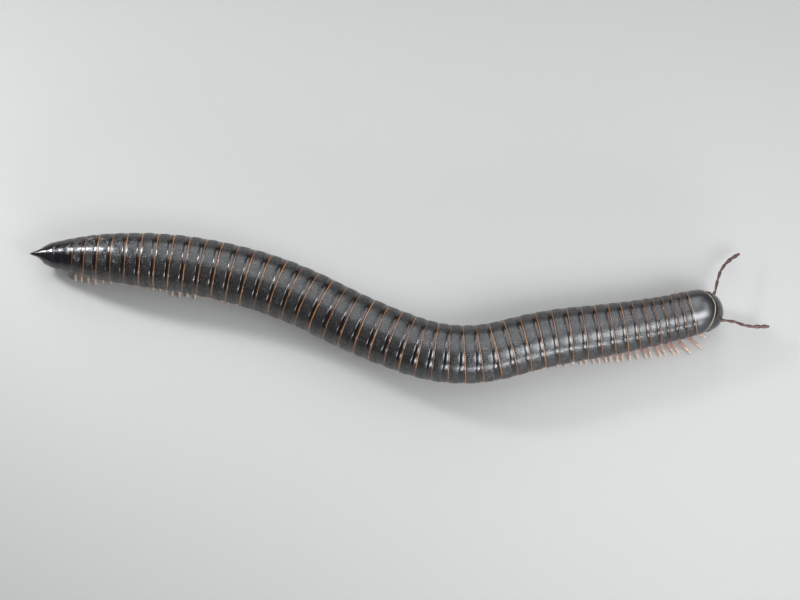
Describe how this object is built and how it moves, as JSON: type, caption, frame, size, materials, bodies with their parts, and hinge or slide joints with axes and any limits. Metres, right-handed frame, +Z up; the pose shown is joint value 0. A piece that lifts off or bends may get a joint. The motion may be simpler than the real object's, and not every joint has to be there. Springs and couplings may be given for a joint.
{
  "type": "portuguese millipede",
  "caption": "Still life-size millipede with a long dark ringed body in an S bend, a domed neck plate, short antennae, fine legs and a pointed tail.",
  "frame": {"origin": "middle of the footprint, on the floor", "axes": "+X toward the head along the longest extent, +Z up, +Y to the animal's left"},
  "size_m": [0.0436, 0.0094, 0.0039],
  "materials": {
    "ring_cuticle": "satin, finely grooved along the body",
    "collum_cuticle": "polished",
    "head_cuticle": "polished",
    "eye_cluster": "glossy beads",
    "mouth_cuticle": "satin",
    "antenna_cuticle": "satin",
    "leg_cuticle": "satin, slightly translucent",
    "tail_cuticle": "polished"
  },
  "bodies": {
    "root": {"trunk_1": "ring_cuticle", "trunk_2": "ring_cuticle", "trunk_3": "ring_cuticle", "trunk_4": "ring_cuticle", "trunk_5": "ring_cuticle", "trunk_6": "ring_cuticle", "trunk_7": "ring_cuticle", "trunk_8": "ring_cuticle", "collum": "collum_cuticle", "head": "head_cuticle", "eye_left": "eye_cluster", "eye_right": "eye_cluster", "jaw_left": "mouth_cuticle", "jaw_right": "mouth_cuticle", "chin": "mouth_cuticle", "antenna_left": "antenna_cuticle", "antenna_right": "antenna_cuticle", "tail_ring": "tail_cuticle", "anal_valve_left": "tail_cuticle", "anal_valve_right": "tail_cuticle"}
  },
  "joints": []
}
